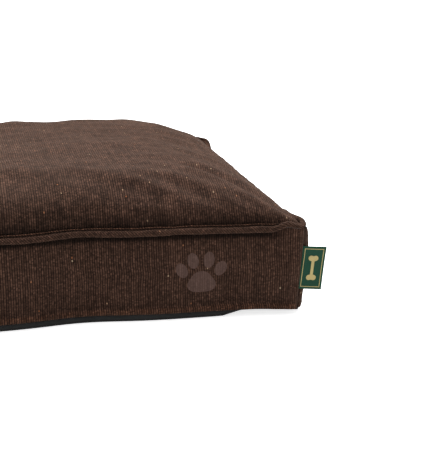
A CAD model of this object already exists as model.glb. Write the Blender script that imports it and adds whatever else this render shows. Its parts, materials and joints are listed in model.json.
"""A boxed pet cushion bed: its sewn cover, bound seam, labels, zip and filling.

Metres. +Z is up and +Y points to the back, where the zip is. The cover is shaped over a held form,
which is swelled by cloth simulation and then cut into the panels that the bed is sewn from.
"""

import json
import math
import random

import bmesh
import bpy
import numpy as np
from bpy.props import FloatProperty, FloatVectorProperty, IntProperty, PointerProperty
from bpy.types import Operator, Panel, PropertyGroup
from mathutils import Matrix, Vector

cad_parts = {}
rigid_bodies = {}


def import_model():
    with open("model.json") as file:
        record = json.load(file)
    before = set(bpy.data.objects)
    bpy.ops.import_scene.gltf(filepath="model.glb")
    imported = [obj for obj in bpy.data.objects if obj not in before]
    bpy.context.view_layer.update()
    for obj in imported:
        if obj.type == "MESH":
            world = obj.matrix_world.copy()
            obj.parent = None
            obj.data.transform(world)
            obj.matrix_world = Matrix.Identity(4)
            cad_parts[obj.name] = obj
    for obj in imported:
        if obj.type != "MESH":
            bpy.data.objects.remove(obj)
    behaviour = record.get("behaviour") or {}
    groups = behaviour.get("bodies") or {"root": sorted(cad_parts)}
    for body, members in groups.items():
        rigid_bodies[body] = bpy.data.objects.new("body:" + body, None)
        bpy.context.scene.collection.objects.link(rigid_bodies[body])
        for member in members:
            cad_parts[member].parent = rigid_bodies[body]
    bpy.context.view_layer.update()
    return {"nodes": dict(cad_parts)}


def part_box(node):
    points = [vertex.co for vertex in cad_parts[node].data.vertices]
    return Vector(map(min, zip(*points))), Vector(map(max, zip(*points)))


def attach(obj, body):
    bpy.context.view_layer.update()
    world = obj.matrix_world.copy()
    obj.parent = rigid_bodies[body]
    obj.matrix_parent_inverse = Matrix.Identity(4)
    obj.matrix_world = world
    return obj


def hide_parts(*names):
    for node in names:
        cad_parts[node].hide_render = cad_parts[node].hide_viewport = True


bl_info = {
    "name": "Boxed Pet Bed",
    "version": (1, 0, 0),
    "blender": (4, 5, 0),
    "location": "3D View > Sidebar > Pet Bed",
    "description": "Sews a ribbed pet cushion bed round its packed frame",
    "category": "Object",
}

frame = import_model()

# ---- Sizes taken from the frame -----------------------------------------------------------

HALF_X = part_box("base_panel")[1].x
HALF_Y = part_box("base_panel")[1].y
BASE_SEAM_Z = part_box("band_front")[0].z
COIL_LOW, COIL_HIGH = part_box("zip_coil_upper")
ZIP_Z = (COIL_LOW.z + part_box("zip_coil_lower")[1].z) / 2
SLOT_END = COIL_HIGH.x + 0.001
SLOT_HALF = 0.0045
LABEL_LOW, LABEL_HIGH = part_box("woven_label")
CARE_LOW, CARE_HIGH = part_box("care_label")
PAW_LOW, PAW_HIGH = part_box("emblem_paw")

COVER_CLOTH = 0.0016
SEAM_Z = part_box("top_panel")[0].z + COVER_CLOTH
BASE_CLOTH = 0.0012
TAPE_CLOTH = 0.0009
PAD_CLOTH = 0.0006
THREAD_WIDTH = 0.0007
THREAD_SHADES = ((0.012, 0.007, 0.005), (0.055, 0.030, 0.021))
PAD_EASE = 0.004

SIDES = ("front", "right", "back", "left")  # anticlockwise from above
BASE_LEAN = 0.0015  # how far in the base seam lies at the corners
# Where a side's seam wanders: how far along from its middle, how far in, and over what half width.
DENTS = {
    "front": ((0.112, 0.012, 0.064), (-0.160, 0.008, 0.060)),
    "right": ((0.110, -0.002, 0.050),),
    "back": ((0.150, 0.004, 0.060), (-0.120, -0.003, 0.070)),
    "left": ((-0.080, 0.004, 0.060), (0.080, -0.003, 0.060)),
}
# How far a side's seams pull in, over what distance from the corner that starts, how much further
# in the top seam lies than the base seam, and how far it is lifted between the corners.
SEAM_RUN = {
    "front": {"pull": 0.0085, "start": 0.045, "lean": 0.0065, "lift": 0.0055},
    "right": {"pull": 0.0040, "start": 0.050, "lean": 0.0035, "lift": -0.0030},
    "back": {"pull": 0.0060, "start": 0.045, "lean": 0.0030, "lift": 0.0},
    "left": {"pull": 0.0060, "start": 0.050, "lean": 0.0035, "lift": 0.0},
}
# The bound seam stands up near each corner: the corner, where it stands most, measured from the
# corner, over what half widths, the rise of the seam there, the tilt of its flange, and how far
# the filled corner is pushed out along X and along Y.
EARS = (
    {
        "corner": (1, -1),
        "peak": (0.0, 0.024),
        "spread": (0.026, 0.074),
        "rise": 0.0015,
        "tilt": 84.0,
        "out": (0.0082, 0.0020),
    },
    {
        "corner": (1, 1),
        "peak": (-0.022, 0.0),
        "spread": (0.048, 0.022),
        "rise": 0.0155,
        "tilt": 80.0,
        "out": (-0.0020, 0.0),
    },
    {
        "corner": (-1, 1),
        "peak": (0.0, -0.015),
        "spread": (0.030, 0.050),
        "rise": 0.007,
        "tilt": 60.0,
        "out": (0.0030, 0.0020),
    },
    {
        "corner": (-1, -1),
        "peak": (0.010, 0.0),
        "spread": (0.045, 0.025),
        "rise": 0.005,
        "tilt": 50.0,
        "out": (0.0040, 0.0020),
    },
)
EAR_REACH = 0.034  # from a corner to where its push dies away


# ---- Settings -----------------------------------------------------------------------------


def length(name, description, default):
    """A size that can be set, in metres."""
    return FloatProperty(name=name, description=description, default=default, unit="LENGTH")


def colour(name, description, default):
    """A colour that can be set."""
    return FloatVectorProperty(name=name, description=description, default=default, subtype="COLOR")


class BedForm(PropertyGroup):
    """How the filled cover stands."""

    crown: length("Crown", "Rise of the lying surface above the top seam", 0.0716)
    front_bulge: length("Front Bulge", "How far the front of the band swells past its seams", 0.009)
    side_bulge: length(
        "Side Bulge", "How far the two short sides of the band swell past their seams", 0.0140
    )
    corner_round: length(
        "Corner Rounding", "How far in the filling draws each upright corner seam", 0.0018
    )
    slack: length(
        "Slack", "How far inside its full form the cover starts before it is filled", 0.004
    )
    swell_limit: length("Swell Limit", "The most that filling moves any point of the cover", 0.009)
    pressure: FloatProperty(
        name="Filling Pressure", description="Pressure of the filling on the cover", default=4.0
    )
    fill_frames: IntProperty(
        name="Filling Frames", description="Frames of simulation that fill the cover", default=20
    )


class BedCloth(PropertyGroup):
    """The cover's cloth, binding and threads."""

    rib_pitch: length("Rib Pitch", "Width of one rib of the cover cloth", 0.0030)
    pick_pitch: length("Pick Pitch", "Length of one yarn float along a rib", 0.0019)
    yarn_dark: colour("Groove Colour", "Cloth colour between the ribs", (0.0070, 0.0036, 0.0025))
    yarn_mid: colour("Yarn Colour", "Main colour of the ribs", (0.042, 0.0214, 0.0143))
    yarn_light: colour(
        "Light Yarn Colour", "Colour of the paler yarns mixed into the ribs", (0.090, 0.047, 0.033)
    )
    base_black: colour(
        "Base Colour", "Colour of the hard-wearing cloth underneath", (0.0135, 0.0135, 0.0130)
    )
    stitch_pitch: length("Stitch Pitch", "Distance from one machine stitch to the next", 0.0034)
    label_green: colour("Label Colour", "Ground colour of the woven label", (0.0050, 0.0480, 0.0250))
    label_gold: colour(
        "Label Thread", "Colour of the label's woven frame and motif", (0.62, 0.50, 0.21)
    )


# ---- Small helpers ------------------------------------------------------------------------


def clear_selection():
    """Deselect all, so that the next operator acts on its own object only."""
    for obj in bpy.context.view_layer.objects:
        obj.select_set(False)


def make_active(obj):
    """Select obj alone."""
    clear_selection()
    obj.select_set(True)
    bpy.context.view_layer.objects.active = obj


def smooth_step(t):
    """0 to 1 with level ends."""
    t = np.clip(t, 0.0, 1.0)
    return t * t * (3 - 2 * t)


def ripple(x, y, wavelength, seed, waves=9):
    """A smooth random field of about -1 to 1, the same on each run."""
    draw = random.Random(seed)
    total = 0.0
    for _ in range(waves):
        heading = draw.uniform(0, 2 * math.pi)
        size = 2 * math.pi / (wavelength * draw.uniform(0.7, 1.5))
        phase = draw.uniform(0, 2 * math.pi)
        total = total + np.sin((x * math.cos(heading) + y * math.sin(heading)) * size + phase)
    return total / math.sqrt(waves)


def steps_along(half, fine, coarse, fine_width):
    """Places from -half to half, fine near both ends and coarse between."""
    edge = np.arange(0, fine_width, fine)
    middle_count = max(2, int(round(2 * (half - fine_width) / coarse)))
    middle = np.linspace(-half + fine_width, half - fine_width, middle_count + 1)
    return np.concatenate([-half + edge, middle, (half - edge)[::-1]])


def run_along(path):
    """Distance along a path to each of its points."""
    steps = np.linalg.norm(np.diff(path, axis=0), axis=1)
    return np.concatenate([[0], np.cumsum(steps)])


def place_on(obj, body, slot, *stands_for):
    """Hang a finished piece on its body, and name its finish and the nodes it stands for."""
    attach(obj, body)
    if stands_for:
        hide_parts(*stands_for)
    return obj


def finish_mesh(mesh, material, smooth=True):
    """Give a mesh its material and shading."""
    mesh.materials.clear()
    mesh.materials.append(material)
    mesh.polygons.foreach_set("use_smooth", [smooth] * len(mesh.polygons))
    mesh.update()


def new_piece(name, points, faces, material, uv=None, masks=None):
    """A mesh object from points and faces, with a UV and float attributes for each point."""
    mesh = bpy.data.meshes.new(name)
    mesh.from_pydata(np.asarray(points, float).tolist(), [], [list(f) for f in faces])
    if uv is not None:
        loops = np.empty(len(mesh.loops), dtype=np.int32)
        mesh.loops.foreach_get("vertex_index", loops)
        layer = mesh.uv_layers.new(name="Cut")
        layer.data.foreach_set("uv", np.asarray(uv, np.float32)[loops].ravel())
    for mask, values in (masks or {}).items():
        attribute = mesh.attributes.new(mask, "FLOAT", "POINT")
        attribute.data.foreach_set("value", np.asarray(values, np.float32))
    mesh.validate()
    finish_mesh(mesh, material)
    obj = bpy.data.objects.new(name, mesh)
    bpy.context.scene.collection.objects.link(obj)
    return obj


def grid_normals(grid):
    """Unit normals of a grid of points, outward where its rows turn anticlockwise."""
    across = np.gradient(grid, axis=0)
    up = np.gradient(grid, axis=1)
    normal = np.cross(across, up)
    return normal / np.maximum(np.linalg.norm(normal, axis=2, keepdims=True), 1e-12)


def grid_faces(rows, columns, start=0, flip=False, closed=False):
    """Quads over a grid of points numbered row by row."""
    faces = []
    for i in range(rows if closed else rows - 1):
        following = (i + 1) % rows
        for j in range(columns - 1):
            a = start + i * columns + j
            b = start + following * columns + j
            quad = (a, b, b + 1, a + 1)
            faces.append(quad[::-1] if flip else quad)
    return faces


def flat_cut(grid):
    """Flat coordinates of a grid of points: distances along its own lines from its middle lines."""
    flat = []
    for axis in (0, 1):
        steps = np.linalg.norm(np.diff(grid, axis=axis), axis=2)
        run = np.cumsum(steps, axis=axis)
        start = np.zeros_like(np.take(run, [0], axis=axis))
        run = np.concatenate([start, run], axis=axis)
        flat.append(run - np.take(run, [grid.shape[axis] // 2], axis=axis))
    return np.stack(flat, -1)


def cloth_shell(name, grid, flat, thickness, material, masks=None, closed=False):
    """A closed sheet of cloth: outer points as given, inner points one thickness inside them."""
    rows, columns = grid.shape[:2]
    flat = flat_cut(grid) if flat is None else flat
    if closed:
        ring = np.concatenate([grid[-1:], grid, grid[:1]])
        normal = grid_normals(ring)[1:-1]
    else:
        normal = grid_normals(grid)
    inner = grid - normal * thickness
    count = rows * columns
    points = np.concatenate([grid.reshape(-1, 3), inner.reshape(-1, 3)])
    faces = grid_faces(rows, columns, 0, False, closed)
    faces += grid_faces(rows, columns, count, True, closed)
    number = np.arange(count).reshape(rows, columns)
    if closed:
        rims = (list(number[:, 0][::-1]) + [number[-1, 0]], list(number[:, -1]) + [number[0, -1]])
    else:
        loop = list(number[:, 0]) + list(number[-1, 1:]) + list(number[-2::-1, -1])
        loop += list(number[0, -2::-1])
        rims = (loop[::-1],)
    for rim in rims:
        for a, b in zip(rim, rim[1:]):
            faces.append((a, b, b + count, a + count))
    uv = np.concatenate([flat.reshape(-1, 2)] * 2)
    both = {k: np.concatenate([np.asarray(v).ravel()] * 2) for k, v in (masks or {}).items()}
    return new_piece(name, points, faces, material, uv, both)


def repeat_piece(name, master, places, material):
    """One mesh of copies of a master object, which is removed. Each place is a 4 by 4 matrix."""
    points = np.array([v.co for v in master.data.vertices], float)
    faces = [tuple(p.vertices) for p in master.data.polygons]
    bpy.data.objects.remove(master)
    all_points = []
    all_faces = []
    for number, place in enumerate(places):
        matrix = np.array(place, float)
        all_points.append(points @ matrix[:3, :3].T + matrix[:3, 3])
        start = number * len(points)
        all_faces += [tuple(start + v for v in face) for face in faces]
    uv = np.concatenate([points[:, :2]] * len(places))
    return new_piece(name, np.concatenate(all_points), all_faces, material, uv)


def frame_matrix(origin, along, up):
    """A matrix whose X runs along and whose Z is nearest to up."""
    x = Vector(along).normalized()
    z = (Vector(up) - x * x.dot(Vector(up))).normalized()
    y = z.cross(x)
    matrix = Matrix((x, y, z)).transposed().to_4x4()
    matrix.translation = Vector(origin)
    return matrix


def stitch_master(length, width, height):
    """One machine stitch: a short bead of thread, sunk at both ends."""
    clear_selection()
    bpy.ops.mesh.primitive_uv_sphere_add(segments=8, ring_count=5, radius=0.5)
    stitch = bpy.context.active_object
    bpy.ops.object.mode_set(mode="EDIT")
    bpy.ops.mesh.select_all(action="SELECT")
    bpy.ops.transform.rotate(value=math.pi / 2, orient_axis="Y", center_override=(0, 0, 0))
    bpy.ops.transform.resize(value=(length, width, height))
    bpy.ops.object.mode_set(mode="OBJECT")
    return stitch


def thread_row(name, points, normals, pitch, thread, material):
    """A row of stitches along a line of points, each lying on the cloth."""
    run = run_along(points)
    count = int(run[-1] / pitch)
    centres = (np.arange(count) + 0.5) * run[-1] / count
    half = 0.42 * pitch
    places = []
    for centre in centres:
        back, here, ahead = (
            np.array([np.interp(s, run, points[:, k]) for k in range(3)])
            for s in (centre - half, centre, centre + half)
        )
        up = np.array([np.interp(centre, run, normals[:, k]) for k in range(3)])
        up /= np.linalg.norm(up)
        places.append(frame_matrix(here, ahead - back, up))
    return repeat_piece(name, stitch_master(0.84 * pitch, thread, thread * 0.75), places, material)


# ---- Held form ----------------------------------------------------------------------------


class HeldForm:
    """The filled cover as surfaces: where any point of the top, the band and the base lies."""

    SEGMENTS = {"x": 98, "y": 74, "z": 14}  # of the mesh that is simulated

    def __init__(self, settings):
        self.settings = settings
        self.swell = {}

    @staticmethod
    def half_of(side):
        """(half length of a side, its distance from the middle of the bed)."""
        return (HALF_X, HALF_Y) if side in ("front", "back") else (HALF_Y, HALF_X)

    @staticmethod
    def axes_of(side):
        """(direction along a side, direction out of it)."""
        turn = SIDES.index(side) * math.pi / 2
        along = np.array([math.cos(turn), math.sin(turn), 0.0]).round(9)
        return along, np.array([along[1], -along[0], 0.0])

    @staticmethod
    def corner_gap(side, along):
        """Distance to the nearer corner of the side."""
        return HeldForm.half_of(side)[0] - np.abs(along)

    def pull(self, side, along, bottom=False):
        """How far a side's seam lies inside the straight line between its corners."""
        run = SEAM_RUN[side]
        gap = self.corner_gap(side, along)
        reach = run["pull"] + (0.0 if bottom else run["lean"])
        settled = reach * (1 - np.exp(-gap / run["start"]))
        for place, depth, width in DENTS[side]:
            settled = settled + depth * np.exp(-(((along - place) / width) ** 2))
        return settled * (1 - np.exp(-gap / 0.012))

    def lift(self, side, along):
        """How far the filling lifts a side's top seam between the corners."""
        return SEAM_RUN[side]["lift"] * (1 - np.exp(-self.corner_gap(side, along) / 0.075))

    def inset(self, gap):
        """How far filling rounds a corner: its seam lies this far in, along both sides."""
        return self.settings.corner_round * np.exp(-gap / 0.009)

    @staticmethod
    def corner_push(x, y):
        """How far the filling pushes the top seam's corners out, along X and along Y."""
        push = np.zeros(np.shape(x) + (2,))
        for ear in EARS:
            gap = np.hypot(x - ear["corner"][0] * HALF_X, y - ear["corner"][1] * HALF_Y)
            share = np.exp(-((gap / EAR_REACH) ** 2))
            push = push + share[..., None] * np.array(ear["out"]) * np.array(ear["corner"])
        return push

    @staticmethod
    def ear_rise(x, y):
        """How far the corners lift the top seam."""
        rise = 0.0
        for ear in EARS:
            gap = np.hypot(x - ear["corner"][0] * HALF_X, y - ear["corner"][1] * HALF_Y)
            rise = rise + ear["rise"] * np.exp(-gap / 0.040)
        return rise

    @staticmethod
    def base_height(gap):
        """Height of the base seam above the floor, by the distance to the nearer corner."""
        return 0.0056 + 0.0042 * (1 - np.exp(-gap / 0.060))

    def seam(self, side, along, bottom=False):
        """A point of the top seam, or of the base seam."""
        half, distance = self.half_of(side)
        along_axis, out_axis = self.axes_of(side)
        gap = self.corner_gap(side, along)
        lean = BASE_LEAN if bottom else 0.0
        rounded = self.inset(gap) * (0.5 if bottom else 1.0)
        flat = (along * (1 - lean / half) - np.sign(along) * rounded)[..., None] * along_axis
        pulled = self.pull(side, along, bottom)
        flat = flat + (distance - lean - rounded - pulled)[..., None] * out_axis
        if bottom:
            flat[..., 2] = self.base_height(gap)
        else:
            nominal = along[..., None] * along_axis + distance * out_axis
            flat[..., :2] += self.corner_push(nominal[..., 0], nominal[..., 1])
            rise = self.ear_rise(nominal[..., 0], nominal[..., 1])
            flat[..., 2] = SEAM_Z + rise + self.lift(side, along)
        return flat

    def band(self, side, along, rise):
        """The band's outer face. rise is 0 at the base seam and 1 at the top seam."""
        low = self.seam(side, along, bottom=True)
        high = self.seam(side, along)
        out_axis = self.axes_of(side)[1]
        gap = self.corner_gap(side, along)
        point = low + (high - low) * rise[..., None]
        if side == "back":
            # The zip holds the middle of the back level with the frame's band.
            height = point[..., 2]
            hold = 1 - smooth_step((np.abs(height - ZIP_Z) - 0.010) / 0.030)
            ends = smooth_step(gap / 0.018)
            short = HALF_Y - point[..., 1]
            point[..., 1] = point[..., 1] + short * hold * ends
            return point
        amount = self.settings.front_bulge if side == "front" else self.settings.side_bulge
        near = np.exp(-((gap / 0.050) ** 2))
        bend = (0.45 + 0.40 * rise) * (1 - 0.62 * near)
        profile = np.sin(math.pi * np.clip(rise, 0, 1) ** 0.90) ** bend
        swell = amount * profile * (1 - np.exp(-gap / 0.011))
        swell = swell * (1 + 0.10 * ripple(along, rise * 0.1, 0.16, 11 + SIDES.index(side)))
        point = point + swell[..., None] * out_axis
        return point

    @staticmethod
    def facing_sides(u, v, measure, *options):
        """A measure of the nearer short side and of the nearer long side, level with each point."""
        x, y = u * HALF_X, v * HALF_Y
        short = np.where(u > 0, measure("right", y, *options), measure("left", -y, *options))
        long = np.where(v < 0, measure("front", x, *options), measure("back", -x, *options))
        return short, long

    def top(self, u, v):
        """The lying surface. u and v run from -1 to 1 across the bed."""
        s = self.settings
        x0, y0 = u * HALF_X, v * HALF_Y
        gap_x, gap_y = HALF_X - np.abs(x0), HALF_Y - np.abs(y0)
        pull_x, pull_y = self.facing_sides(u, v, self.pull)
        corner = np.hypot(gap_x, gap_y)
        x = x0 - np.sign(u) * (np.abs(u) ** 4 * pull_x + self.inset(corner))
        y = y0 - np.sign(v) * (np.abs(v) ** 4 * pull_y + self.inset(corner))
        full_u, full_v = 1 - np.abs(u) ** 4.21, 1 - np.abs(v) ** 5.34
        crown_u = full_u / (full_u + 0.02) ** 0.5 * 1.02**0.5
        crown_v = full_v / (full_v + 0.06) ** 0.65 * 1.06**0.65
        push = self.corner_push(x0, y0)
        x, y = x + push[..., 0], y + push[..., 1]
        lift_x, lift_y = self.facing_sides(u, v, self.lift)
        z = SEAM_Z + self.ear_rise(x0, y0) + s.crown * crown_u * crown_v
        z = z + np.abs(u) ** 6 * lift_x + np.abs(v) ** 6 * lift_y
        z = z - 0.008 * np.exp(-((corner / 0.030) ** 2)) * (1 - np.exp(-corner / 0.006))
        edge = np.minimum(gap_x, gap_y)
        level = smooth_step(edge / 0.060)
        z = z + 0.0014 * level * ripple(x, y, 0.150, 3) + 0.0007 * level * ripple(x, y, 0.055, 4)
        z = z - 0.0040 * np.exp(-(((x + 0.13) / 0.10) ** 2) - ((y - 0.08) / 0.15) ** 2)
        return np.stack([x, y, z], -1)

    def base(self, u, v):
        """The underside, which rolls in from its seam to lie on the floor."""
        x0, y0 = u * HALF_X, v * HALF_Y
        gap_x, gap_y = HALF_X - np.abs(x0), HALF_Y - np.abs(y0)
        pull_x, pull_y = self.facing_sides(u, v, self.pull, True)
        lean = BASE_LEAN
        rounded = self.inset(np.hypot(gap_x, gap_y)) * 0.5
        x = x0 * (1 - lean / HALF_X) - np.sign(u) * (np.abs(u) ** 4 * pull_x + rounded)
        y = y0 * (1 - lean / HALF_Y) - np.sign(v) * (np.abs(v) ** 4 * pull_y + rounded)
        height = self.base_height(np.maximum(gap_x, gap_y))
        edge = np.minimum(gap_x, gap_y)
        # The seam is close over the floor along the sides, and the corners are lifted clear of it.
        lifted = smooth_step((0.103 - np.maximum(gap_x, gap_y)) / 0.032)
        tight = np.clip(1 - edge / 0.0065, 0, 1)
        easy = np.clip(1 - edge / 0.050, 0, 1)
        z = height * ((1 - lifted) * (1 - np.sqrt(np.maximum(1 - tight**2, 0))) + lifted * easy**1.5)
        return np.stack([x, y, z], -1)

    # -- Filling by cloth simulation --

    def coarse_grids(self):
        """The panels on the simulation's own grids, which share their edge points."""
        x = np.linspace(-1, 1, self.SEGMENTS["x"] + 1)
        y = np.linspace(-1, 1, self.SEGMENTS["y"] + 1)
        z = np.linspace(0, 1, self.SEGMENTS["z"] + 1)
        u, v = np.meshgrid(x, y, indexing="ij")
        grids = {"top": self.top(u, v), "base": self.base(u, v)}
        for side in SIDES:
            places = (x if side in ("front", "back") else y) * self.half_of(side)[0]
            along, rise = np.meshgrid(places, z, indexing="ij")
            grids[side] = self.band(side, along, rise)
        return grids

    def fill(self):
        """Swell the cover with its filling, and keep how far each point moved."""
        s = self.settings
        grids = self.coarse_grids()
        numbers = {}
        points = []
        found = {}
        faces = []
        held = []
        for name, grid in grids.items():
            number = np.empty(grid.shape[:2], int)
            rows, columns = grid.shape[:2]
            normal = grid_normals(grid) * (-1 if name == "base" else 1)
            i, j = np.meshgrid(np.arange(rows), np.arange(columns), indexing="ij")
            rim = np.minimum(np.minimum(i, rows - 1 - i), np.minimum(j, columns - 1 - j))
            start = grid - normal * (s.slack * smooth_step(rim / 4))[..., None]
            for a in range(rows):
                for b in range(columns):
                    key = tuple(np.round(grid[a, b], 5)) if rim[a, b] == 0 else (name, a, b)
                    if key not in found:
                        found[key] = len(points)
                        points.append(start[a, b])
                        fixed = rim[a, b] == 0 or name == "base"
                        if name == "back":
                            fixed = fixed or abs(grid[a, b, 2] - ZIP_Z) < 0.012
                        held.append(1.0 if fixed else 0.0)
                    number[a, b] = found[key]
            numbers[name] = number
            for a in range(rows - 1):
                for b in range(columns - 1):
                    quad = (number[a, b], number[a + 1, b], number[a + 1, b + 1], number[a, b + 1])
                    faces.append(quad[::-1] if name == "base" else quad)
        points = np.array(points)
        filled = self.simulate(points, faces, np.array(held))
        moved = filled - points
        length = np.linalg.norm(moved, axis=1, keepdims=True)
        moved *= np.minimum(1, s.swell_limit / np.maximum(length, 1e-9))
        for name, number in numbers.items():
            change = moved[number] + points[number] - grids[name]
            self.swell[name] = change - broad_part(change)

    def simulate(self, points, faces, held):
        """Blender's cloth, pinned at the seams and pressed from inside."""
        s = self.settings
        mesh = bpy.data.meshes.new("filling_form")
        mesh.from_pydata(points.tolist(), [], [tuple(int(k) for k in f) for f in faces])
        obj = bpy.data.objects.new("filling_form", mesh)
        bpy.context.scene.collection.objects.link(obj)
        pins = obj.vertex_groups.new(name="held")
        lumps = obj.vertex_groups.new(name="lumps")
        lump = 0.62 + 0.38 * np.clip(ripple(points[:, 0], points[:, 1], 0.12, 21), -1, 1)
        for number, (pin, share) in enumerate(zip(held, lump)):
            if pin:
                pins.add([number], pin, "REPLACE")
            lumps.add([number], float(share), "REPLACE")
        cloth = obj.modifiers.new("Cloth", "CLOTH")
        options = cloth.settings
        options.quality = 6
        options.mass = 0.25
        options.tension_stiffness = 12
        options.compression_stiffness = 12
        options.shear_stiffness = 4
        options.bending_stiffness = 0.6
        options.shrink_min = -0.012
        options.vertex_group_mass = "held"
        options.use_pressure = True
        options.uniform_pressure_force = s.pressure
        options.vertex_group_pressure = "lumps"
        options.effector_weights.gravity = 0
        cloth.collision_settings.use_collision = False
        cloth.collision_settings.use_self_collision = False
        cloth.point_cache.frame_start = 1
        cloth.point_cache.frame_end = s.fill_frames
        scene = bpy.context.scene
        for number in range(1, s.fill_frames + 1):
            scene.frame_set(number)
        shaped = obj.evaluated_get(bpy.context.evaluated_depsgraph_get()).to_mesh()
        filled = np.empty(len(points) * 3, np.float32)
        shaped.vertices.foreach_get("co", filled)
        bpy.data.objects.remove(obj)
        bpy.data.meshes.remove(mesh)
        scene.frame_set(1)
        return filled.reshape(-1, 3).astype(float)

    def swelled(self, panel, first, second, point):
        """point moved as the filling moved it. first and second run from 0 to 1 over the panel."""
        if panel not in self.swell:
            return point
        field = self.swell[panel]
        rows, columns = field.shape[:2]
        weights_i, index_i = spline_weights(first * (rows - 1), rows)
        weights_j, index_j = spline_weights(second * (columns - 1), columns)
        moved = 0.0
        for wi, ii in zip(weights_i, index_i):
            for wj, jj in zip(weights_j, index_j):
                moved = moved + (wi * wj)[..., None] * field[ii, jj]
        rim = np.minimum(
            np.minimum(first, 1 - first) * (rows - 1), np.minimum(second, 1 - second) * (columns - 1)
        )
        return point + moved * smooth_step(rim / 1.5)[..., None]


def broad_part(field, passes=36):
    """The part of a grid of moves that changes slowly: the held form has that part already."""
    for _ in range(passes):
        for axis in (0, 1):
            width = [(1, 1) if k == axis else (0, 0) for k in range(3)]
            wide = np.moveaxis(np.pad(field, width, mode="edge"), axis, 0)
            field = np.moveaxis(0.25 * wide[:-2] + 0.5 * wide[1:-1] + 0.25 * wide[2:], 0, axis)
    return field


def spline_weights(place, count):
    """Cubic B-spline weights and indices of the four grid lines round a place."""
    start = np.clip(np.floor(place).astype(int), 0, count - 2)
    t = place - start
    weights = (
        (1 - t) ** 3 / 6,
        (3 * t**3 - 6 * t**2 + 4) / 6,
        (-3 * t**3 + 3 * t**2 + 3 * t + 1) / 6,
        t**3 / 6,
    )
    indices = [np.clip(start + k, 0, count - 1) for k in (-1, 0, 1, 2)]
    return weights, indices


FORM = {}


def held_form():
    """The form that the current settings give, filled once."""
    if "form" not in FORM:
        form = HeldForm(bpy.context.scene.bed_form)
        form.fill()
        FORM["form"] = form
    return FORM["form"]


# ---- Bound seam's path --------------------------------------------------------------------

MID_TILT = -38.0  # the flange droops between the corners
TURN_RADIUS = 0.021  # of the seam's turn at a corner


def seam_path(spacing):
    """The top seam once round: places, outward directions and flange tilts in degrees."""
    form = held_form()
    points = []
    for side in SIDES:
        half = form.half_of(side)[0]
        reach = half - TURN_RADIUS
        along = np.linspace(-reach, reach, int(2 * reach / spacing))
        points.append(form.seam(side, along))
        corner = form.seam(side, np.array([half]))[0]
        following = SIDES[(SIDES.index(side) + 1) % 4]
        start = points[-1][-1]
        end = form.seam(following, np.array([TURN_RADIUS - form.half_of(following)[0]]))[0]
        count = max(4, int(1.6 * TURN_RADIUS / spacing))
        t = (np.arange(1, count) / count)[:, None]
        points.append(start * (1 - t) ** 2 + corner * 2 * t * (1 - t) + end * t**2)
    path = np.concatenate(points)
    forward = np.roll(path, -1, axis=0) - np.roll(path, 1, axis=0)
    forward[:, 2] = 0
    forward /= np.linalg.norm(forward, axis=1, keepdims=True)
    outward = np.stack([forward[:, 1], -forward[:, 0], np.zeros(len(path))], -1)
    return path, outward, flange_tilt(path)


def flange_tilt(points):
    """Tilt of the flange in degrees: it droops between the corners and stands near them."""
    tilt = np.full(len(points), MID_TILT)
    for ear in EARS:
        x = ear["corner"][0] * HALF_X + ear["peak"][0]
        y = ear["corner"][1] * HALF_Y + ear["peak"][1]
        gap = np.hypot((points[:, 0] - x) / ear["spread"][0], (points[:, 1] - y) / ear["spread"][1])
        tilt = tilt + (ear["tilt"] - MID_TILT) * np.exp(-(gap**3.0))
    return tilt


def flange_points(path, outward, tilt, reach, above):
    """Points of the flange at a reach out from the seam and a height above its middle."""
    angle = np.radians(tilt)[:, None]
    up = np.array([0.0, 0.0, 1.0])
    out = outward * np.cos(angle) + up * np.sin(angle)
    over = up * np.cos(angle) - outward * np.sin(angle)
    return path + out * reach[:, None] + over * above[:, None], over


# ---- Materials ----------------------------------------------------------------------------


class Nodes:
    """Short hand for wiring one node tree."""

    def __init__(self, tree):
        self.tree = tree

    def add(self, kind, inputs=(), **settings):
        node = self.tree.nodes.new(kind)
        for key, value in settings.items():
            setattr(node, key, value)
        items = inputs.items() if isinstance(inputs, dict) else enumerate(inputs)
        for key, value in items:
            if value is None:
                continue
            if isinstance(value, bpy.types.NodeSocket):
                self.tree.links.new(value, node.inputs[key])
            else:
                node.inputs[key].default_value = value
        return node

    def feed(self, sockets, **values):
        for key, value in values.items():
            self.tree.links.new(value, sockets[key.replace("_", " ")])

    def math(self, operation, *values, clamp=False):
        return self.add("ShaderNodeMath", values, operation=operation, use_clamp=clamp).outputs[0]

    def mix(self, factor, a, b):
        node = self.add("ShaderNodeMix", data_type="RGBA")
        for key, value in ((0, factor), (6, a), (7, b)):
            if isinstance(value, bpy.types.NodeSocket):
                self.tree.links.new(value, node.inputs[key])
            else:
                node.inputs[key].default_value = value if key == 0 else (*value, 1.0)[:4]
        return node.outputs[2]

    def ramp(self, value, low, high, to_low=0.0, to_high=1.0):
        inputs = (value, low, high, to_low, to_high)
        return self.add("ShaderNodeMapRange", inputs, interpolation_type="SMOOTHSTEP").outputs[0]

    def noise(self, vector, scale, detail=2.0, roughness=0.5):
        inputs = {"Vector": vector, "Scale": scale, "Detail": detail, "Roughness": roughness}
        return self.add("ShaderNodeTexNoise", inputs).outputs[0]


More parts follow.
